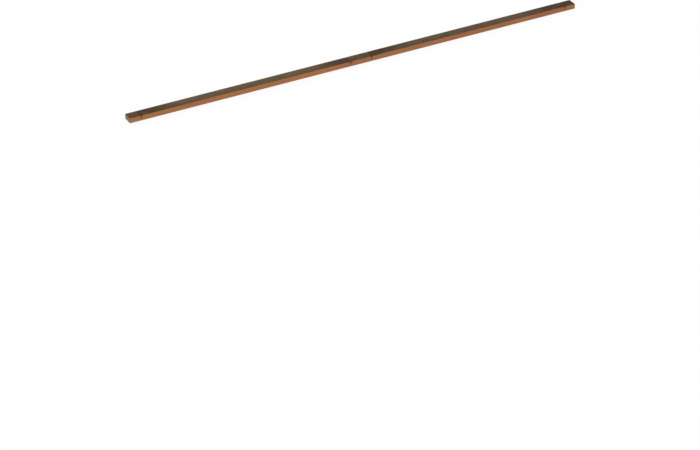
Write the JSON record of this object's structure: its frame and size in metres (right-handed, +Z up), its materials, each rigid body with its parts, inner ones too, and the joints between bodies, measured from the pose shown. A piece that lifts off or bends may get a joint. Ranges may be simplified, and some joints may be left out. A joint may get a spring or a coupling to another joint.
{
  "type": "copper busbar",
  "caption": "Flat rectangular copper bar that carries current in a switchboard, with rounded long edges, sawn ends and narrow grooves that mark off its contact lands.",
  "frame": {"origin": "middle of the wide underside that the bar lies on", "axes": "+X along the bar, +Y across its 20 mm width, +Z up through its 10 mm thickness"},
  "size_m": [0.94, 0.02, 0.01],
  "materials": {
    "drawn_copper": "satin"
  },
  "bodies": {
    "root": {"copper_busbar": "drawn_copper"}
  },
  "joints": []
}
